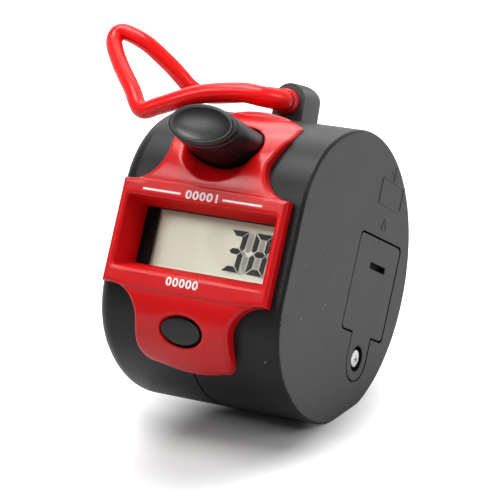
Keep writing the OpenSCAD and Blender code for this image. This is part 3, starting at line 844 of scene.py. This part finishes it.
def makeFingerLoop():
    loop = {
        "rod": 1.35, "swell": (1.2, 1.22, 1.2, 1.16, 1.12, 1.05), "steps": 10, "rodSteps": 8, "sharp": 40,
        "frontEnd": 1.6, "frontLead": 1.4, "rearEnd": 0.7, "rearLead": 1.6, "sides": 48,
        "collar": (2.0, 0.3), "frontCollar": (-4.8, -2.95), "rearCollar": (2.95, 3.8),
        "pin": (1.25, 0.2), "frontPin": (-3.4, -0.4), "rearPin": (0.4, 3.4),
        "route": [(-2.2, -5.6, 24.9), (-5.7, -6.2, 24.95), (-12.2, -6.8, 23.7), (-18.6, -7, 21.1),
                  (-21.9, -6.8, 20.1), (-25.5, -5, 23.5), (-30.6, -2, 28), (-34, 0.5, 31.8),
                  (-33.4, 1.4, 33.7), (-29.3, 2.2, 32.6), (-25.1, 3.7, 30), (-22.9, 4.7, 28.3),
                  (-21.2, 5.7, 26.9), (-19.1, 6.7, 26.2), (-16, 7.7, 26.7), (-11.6, 8.7, 27.7),
                  (-6.9, 9.2, 28), (-2.8, 9.2, 27.7)],
    }
    tilt = math.radians(lug["lean"])
    lean = Vector((0, math.cos(tilt), math.sin(tilt)))
    spot = Vector(lug["spot"])
    ahead, behind = lug["depth"] / 2 + loop["frontEnd"], lug["depth"] / 2 + loop["rearEnd"]
    route = [spot - ahead * lean, spot - (ahead + loop["frontLead"]) * lean]
    route += [Vector(point) for point in loop["route"]]
    route += [spot + (behind + loop["rearLead"]) * lean, spot + behind * lean]
    curve = bpy.data.curves.new("fingerLoop", "CURVE")
    curve.dimensions = "3D"
    curve.resolution_u = loop["steps"]
    curve.bevel_depth = loop["rod"] * mm
    curve.bevel_resolution = loop["rodSteps"]
    curve.use_fill_caps = True
    last = len(route) - 1
    spline = curve.splines.new("BEZIER")
    spline.bezier_points.add(last)
    for i, point in enumerate(spline.bezier_points):
        # handles along the line from the point before to the point after, a third of the way
        heading = (route[min(i + 1, last)] - route[max(i - 1, 0)]) / 2
        point.co = route[i] * mm
        point.handle_left = (route[i] - heading / 3) * mm
        point.handle_right = (route[i] + heading / 3) * mm
        # the front strand swells towards its collar
        point.radius = loop["swell"][i] if i < len(loop["swell"]) else 1
    tube = meshFromCurve("fingerLoop", curve)
    settle(tube)
    parts = [tube]
    for end in ("front", "rear"):
        collar = collarProfile(*loop["collar"], *loop[end + "Collar"])
        pin = pinProfile(*loop["pin"], *loop[end + "Pin"])
        for name, profile in (("collar", collar), ("pin", pin)):
            part = stackRounds(name, profile, loop["sides"])
            settle(part, lugPlace @ Matrix.Rotation(math.radians(-90), 4, "X"))
            parts.append(part)
    piece = joinPieces(parts, "fingerLoop")
    smoothShade(piece, loop["sharp"])
    dress(piece, loopVinyl, "loop", "loop_vinyl", "finger_loop")
    print("finger loop bent and collared")


# a thin flat plate from its corners, seen from the front at depth y
def frontPlate(name, corners, y, thickness):
    deselectAll()
    bpy.ops.mesh.primitive_circle_add(vertices=len(corners), radius=mm, fill_type="NGON")
    piece = bpy.context.object
    piece.name = name
    for vert, (x, z) in zip(piece.data.vertices, corners):
        vert.co = Vector((x, y, z)) * mm
    startEdit(piece)
    bpy.ops.mesh.extrude_region_move(TRANSFORM_OT_translate={"value": (0, -thickness * mm, 0)})
    endFacingOut()
    return piece


def makeDisplayDigits():
    display = {"height": 6.3, "width": 2.95, "stroke": 0.85, "gap": 0.13, "slant": 5.0, "middleZ": -0.3,
               "lit": {3.54: "abcdg", 7.68: "abcdefg"}, "glass": -14.0, "film": 0.02,
               "inkLift": 0.035, "shadowLift": 0.01, "shadowShift": (1.0, -0.2)}
    tall, wide, thick, gap = display["height"] / 2, display["width"] / 2, display["stroke"], display["gap"]
    point = thick / 2
    end = wide - gap
    tip = wide - point - gap
    # mitred strokes of one digit about its middle
    strokes = {
        "a": [(-end, tall), (end, tall), (end - thick, tall - thick), (thick - end, tall - thick)],
        "g": [(-tip, 0), (-tip + point, point), (tip - point, point), (tip, 0),
              (tip - point, -point), (-tip + point, -point)],
        "b": [(wide, tall - gap), (wide, gap + point), (wide - point, gap), (wide - thick, gap + point),
              (wide - thick, tall - gap - thick)],
    }
    strokes["d"] = [(x, -z) for x, z in strokes["a"]]
    strokes["c"] = [(x, -z) for x, z in strokes["b"]]
    strokes["f"] = [(-x, z) for x, z in strokes["b"]]
    strokes["e"] = [(-x, -z) for x, z in strokes["b"]]
    lean = math.tan(math.radians(display["slant"]))
    patterns = {}
    for letter, corners in strokes.items():
        slanted = [(x + z * lean, z) for x, z in corners]
        patterns[letter] = frontPlate("stroke", slanted, display["glass"], display["film"])
    # the second layer is a painted shadow: pale copies of the strokes, shifted right and down on the glass
    layers = (("displayDigits", segmentInk, display["inkLift"], (0, 0)),
              ("paintedDigitShadows", digitShadowPaint, display["shadowLift"], display["shadowShift"]))
    for name, material, lift, (shiftX, shiftZ) in layers:
        plates = []
        for centre, letters in display["lit"].items():
            for letter in letters:
                plate = copyPiece(patterns[letter])
                plate.location = Vector((centre + shiftX, -lift, display["middleZ"] + shiftZ)) * mm
                settle(plate)
                plates.append(plate)
        piece = joinPieces(plates, name)
        dress(piece, material, "base", "display")
    for pattern in patterns.values():
        removePiece(pattern)
    print("display digits set")


def makePrintedMarks():
    marks = {"face": -20.9, "bars": ((-10.18, -3.73), (3.38, 9.95)), "barZ": 6.0, "barHeight": 0.3,
             "barInk": 0.015, "numbers": (("00001", 0.0, 6.0), ("00000", -0.25, -7.13)),
             "height": 1.3, "width": 5.4, "bold": 0.028, "spacing": 1.15,
             "depth": 0.01, "flat": 0.6, "lift": 0.008}
    low, high = marks["barZ"] - marks["barHeight"] / 2, marks["barZ"] + marks["barHeight"] / 2
    parts = []
    for first, last in marks["bars"]:
        corners = [(first, low), (last, low), (last, high), (first, high)]
        parts.append(frontPlate("bar", corners, marks["face"], marks["barInk"]))
    for figures, x, z in marks["numbers"]:
        deselectAll()
        bpy.ops.object.text_add()
        number = bpy.context.object
        number.data.body = figures
        number.data.align_x = "CENTER"
        number.data.align_y = "CENTER"
        number.data.offset = marks["bold"]
        number.data.space_character = marks["spacing"]
        number.data.extrude = marks["depth"]
        bpy.ops.object.convert(target="MESH")
        number = bpy.context.object
        fitX = marks["width"] * mm / number.dimensions.x
        fitY = marks["height"] * mm / number.dimensions.y
        number.scale = (fitX, fitY, marks["flat"] * mm)
        number.rotation_euler = (math.radians(90), 0, 0)
        number.location = Vector((x, marks["face"] - marks["lift"], z)) * mm
        parts.append(number)
    for part in parts:
        settle(part)
    piece = joinPieces(parts, "printedMarks")
    dress(piece, whiteInk, "base", "front_plastic")
    print("printed bars and numbers laid on")


# a cube of these sizes about the origin, open for editing
def startCube(sizes):
    deselectAll()
    bpy.ops.mesh.primitive_cube_add(size=mm)
    piece = bpy.context.object
    piece.scale = sizes
    bpy.ops.object.transform_apply(location=False, rotation=False, scale=True)
    startEdit(piece)
    return piece


# low raised bars on the right face, one modelled and copied to each place (y, z, angle of its long side)
def faceBars(length, width, places):
    bar = {"height": 0.12, "edge": 0.6, "facing": 0.9}
    first = startCube((bar["height"] * 2, length, width))
    startPick("FACE")
    for face in first.data.polygons:
        face.select = face.normal.x > bar["facing"]
    endPick()
    bpy.ops.mesh.bevel(offset=bar["height"] * bar["edge"] * mm, segments=2, affect="EDGES")
    endEdit()
    bars = [first] + [copyPiece(first) for place in places[1:]]
    for piece, (y, z, angle) in zip(bars, places):
        piece.rotation_euler = (math.radians(angle), 0, 0)
        piece.location = Vector((drum["halfWidth"], y, z)) * mm
        settle(piece)
    return bars


def makeFaceMarks():
    marks = {"plus": (9.65, 18.2, 2.3), "frame": (5.75, 13.9, 13.0, 16.9), "arrow": (9.45, 9.9, 1.9),
             "width": 0.32, "arrowWidth": 0.25, "arrowIn": 0.29, "sharp": 30}
    width = marks["width"]
    y, z, size = marks["plus"]
    bars = faceBars(size, width, [(y, z, 0), (y, z, 90)])
    left, right, low, high = marks["frame"]
    middleY, middleZ = (left + right) / 2, (low + high) / 2
    bars += faceBars(right - left + width, width, [(middleY, low, 0), (middleY, high, 0)])
    bars += faceBars(high - low, width, [(left, middleZ, 90), (right, middleZ, 90)])
    y, z, size = marks["arrow"]
    sides = []
    for turn in (0, 120, 240):
        spin = math.radians(turn - 90)
        inward = size * marks["arrowIn"]
        sides.append((y + inward * math.cos(spin), z + inward * math.sin(spin), turn))
    bars += faceBars(size, marks["arrowWidth"], sides)
    piece = joinPieces(bars, "faceMarks")
    smoothShade(piece, marks["sharp"])
    dress(piece, sidePlastic, "base", "case_plastic")
    print("raised marks on the right face")


# a cross-head screw about its axis, the seat of its head at zero
def crossScrew(head, headHeight, shank, shankLength, turn):
    cross = {"tip": 0.5, "taper": 0.6, "seat": 0.96, "seatEdge": 0.06, "sides": 64,
             "dome": ((1, 0.45), (0.95, 0.72), (0.82, 0.9), (0.5, 0.98), (0.2, 1)),
             "blade": (1.15, 0.24), "bladeFoot": (0.45, 0.6, 1), "bladeHeight": 0.85}
    profile = [(shank * cross["tip"], -shankLength), (shank, cross["taper"] - shankLength), (shank, 0)]
    profile += [(head * cross["seat"], 0), (head, cross["seatEdge"])]
    profile += [(head * wide, headHeight * high) for wide, high in cross["dome"]]
    screw = stackRounds("screw", profile, cross["sides"])
    long, thick = cross["blade"]
    for angle in (turn, turn + 90):
        blade = startCube((head * long, head * thick, headHeight))
        startPick("VERT")
        for vert in blade.data.vertices:
            vert.select = vert.co.z < 0
        endPick()
        bpy.ops.transform.resize(value=cross["bladeFoot"], center_override=(0, 0, 0))
        endEdit()
        blade.rotation_euler = (0, 0, math.radians(angle))
        blade.location = (0, 0, headHeight * cross["bladeHeight"] * mm)
        settle(blade, Matrix.Identity(4))
        cutAway(screw, blade)
    return screw


# places a screw on the right face (side 1) or the left face (side -1), its seat sunk below the face
def driveScrew(piece, side, sunk, y, z, spin=0):
    spot = Vector((side * (drum["halfWidth"] - sunk), y, z)) * mm
    turned = Matrix.Rotation(math.radians(90 * side), 4, "Y") @ Matrix.Rotation(math.radians(spin), 4, "Z")
    settle(piece, drumPlace @ Matrix.Translation(spot) @ turned)


def makeScrews():
    screws = {"door": {"head": 1.38, "headHeight": 0.58, "shank": 0.85, "shankLength": 4.6, "turn": 24},
              "doorSunk": 0.68, "doorSpot": (9.8, -11.0),
              "case": {"head": 1.75, "headHeight": 1.48, "shank": 0.8, "shankLength": 21.0, "turn": 10},
              "caseSunk": 2.58, "caseSpots": ((0.5, 13, 0), (0, -15.5, 45), (13.5, 9.5, 23)), "sharp": 30}
    piece = crossScrew(**screws["door"])
    piece.name = "doorScrew"
    driveScrew(piece, 1, screws["doorSunk"], *screws["doorSpot"])
    smoothShade(piece, screws["sharp"])
    dress(piece, screwSteel, "door", "steel", "door_screw")
    first = crossScrew(**screws["case"])
    made = [first] + [copyPiece(first) for spot in screws["caseSpots"][1:]]
    for part, spot in zip(made, screws["caseSpots"]):
        driveScrew(part, -1, screws["caseSunk"], *spot)
    piece = joinPieces(made, "caseScrews")
    smoothShade(piece, screws["sharp"])
    dress(piece, screwSteel, "base", "steel", "case_screws")
    print("cross-head screws driven")


makeShells()
makeFrontBezel()
makeCountButton()
makeResetButton()
makeBatteryDoor()
makeSprings()
makeLoopLug()
makeFingerLoop()
makeDisplayDigits()
makePrintedMarks()
makeFaceMarks()
makeScrews()


# set, with the floor and the lamps in metres and the camera in millimetres


# joins ray kinds into one value that is 1 for any of them
def anyRay(tree, *kinds):
    ray = addNode(tree, "LightPath")
    seen = ray.outputs[kinds[0]]
    for kind in kinds[1:]:
        seen = addMaths(tree, "Math", "MAXIMUM", seen, ray.outputs[kind]).outputs["Value"]
    return seen


def makeFloor():
    floor = {"size": 3.0, "shade": 0.54, "rough": 0.8, "shine": 0.1, "whiteFrom": 0.013, "whiteTo": 0.044,
             "centre": (0.006, -0.016, 0), "narrow": (1.95, 1.0, 1.0), "inGloss": 0.4}
    deselectAll()
    bpy.ops.mesh.primitive_plane_add(size=floor["size"])
    piece = bpy.context.object
    piece.name = "floor"
    finish = Finish("paleFloor")
    tree = finish.tree
    shade = floor["shade"]
    finish.set(Base_Color=(shade, shade, shade, 1), Emission_Color=(1, 1, 1, 1))
    finish.set(Roughness=floor["rough"], Specular_IOR_Level=floor["shine"])
    # a painted glow that grows away from the object makes the open floor white and clears the shadow
    # further out; the darker patch it leaves round the object is shaped to the shadow, a painted shade
    narrow = Vector(floor["narrow"])
    centre = Vector(floor["centre"]) * narrow
    squeeze = addMaths(tree, "VectorMath", "MULTIPLY", finish.place, narrow)
    away = addMaths(tree, "VectorMath", "DISTANCE", squeeze.outputs["Vector"], centre)
    glow = addGrowth(tree, away.outputs["Value"], floor["whiteFrom"], floor["whiteTo"], "SMOOTHSTEP")
    # reflections need less of it, because they are brightened by the lamps' light on the floor too
    mirrored = anyRay(tree, "Is Glossy Ray", "Is Transmission Ray")
    inView = anyRay(tree, "Is Camera Ray")
    seen = addMaths(tree, "Math", "MULTIPLY_ADD", mirrored, floor["inGloss"], inView)
    seen.use_clamp = True
    gain = addMaths(tree, "Math", "MULTIPLY", seen.outputs["Value"], glow)
    finish.set(Emission_Strength=gain.outputs["Value"])
    piece.data.materials.append(finish.material)


def makeWorld():
    sky = {"ambient": 0.18, "seen": 1.0, "room": 0.3, "roomFrom": -0.2, "roomTo": 0.75}
    world = bpy.data.worlds.new("studio")
    bpy.context.scene.world = world
    world.use_nodes = True
    tree = world.node_tree
    background = tree.nodes["Background"]
    background.inputs["Color"].default_value = (1, 1, 1, 1)
    # reflections see the white studio behind the object, and a dimmer room in front of it
    split = addNode(tree, "SeparateXYZ", Vector=addNode(tree, "TexCoord").outputs["Generated"])
    mirrored = addGrowth(tree, split.outputs["Y"], sky["roomFrom"], sky["roomTo"], "SMOOTHSTEP",
                         To_Min=sky["room"], To_Max=sky["seen"])
    inGloss = addNode(tree, "Mix", Factor=anyRay(tree, "Is Glossy Ray"), A=sky["ambient"], B=mirrored)
    inView = addNode(tree, "Mix", Factor=anyRay(tree, "Is Camera Ray", "Is Transmission Ray"),
                     A=inGloss.outputs["Result"], B=sky["seen"])
    tree.links.new(inView.outputs["Result"], background.inputs["Strength"])


def makeLamps():
    lamps = {
        "keyLamp": {"at": (-0.16, -0.04, 0.80), "size": (0.45, 0.45), "power": 6.2},
        "rimLamp": {"at": (-0.42, 0.56, 0.60), "size": (0.60, 0.60), "power": 1.7},
        "highLamp": {"at": (-0.16, -0.38, 0.80), "size": (0.45, 0.35), "power": 0.4},
        "frontLamp": {"at": (-0.38, -0.59, 0.62), "size": (0.22, 0.28), "power": 1.75},
        "sideLamp": {"at": (0.62, -0.10, 0.55), "size": (0.40, 0.40), "power": 1.7},
    }
    aim = Vector((0, 0, 0.025))
    for name, lamp in lamps.items():
        data = bpy.data.lights.new(name, "AREA")
        data.shape = "RECTANGLE"
        data.size, data.size_y = lamp["size"]
        data.energy = lamp["power"]
        light = addObject(name, data)
        light.location = lamp["at"]
        light.rotation_euler = (aim - light.location).to_track_quat("-Z", "Y").to_euler()


def makeCamera():
    camera = {"at": (176.55, -321.23, 139.08), "turn": (72.539, 0.0214, 28.913), "lens": 180.06,
              "sensor": 36, "clip": 10}
    data = bpy.data.cameras.new("camera")
    data.sensor_width = camera["sensor"]
    data.lens = camera["lens"]
    data.clip_start = camera["clip"] * mm
    view = addObject("camera", data)
    view.location = Vector(camera["at"]) * mm
    view.rotation_euler = [math.radians(angle) for angle in camera["turn"]]
    bpy.context.scene.camera = view


makeFloor()
makeWorld()
makeLamps()
makeCamera()
bpy.context.scene.view_settings.view_transform = "Standard"
print("floor, light and camera placed")
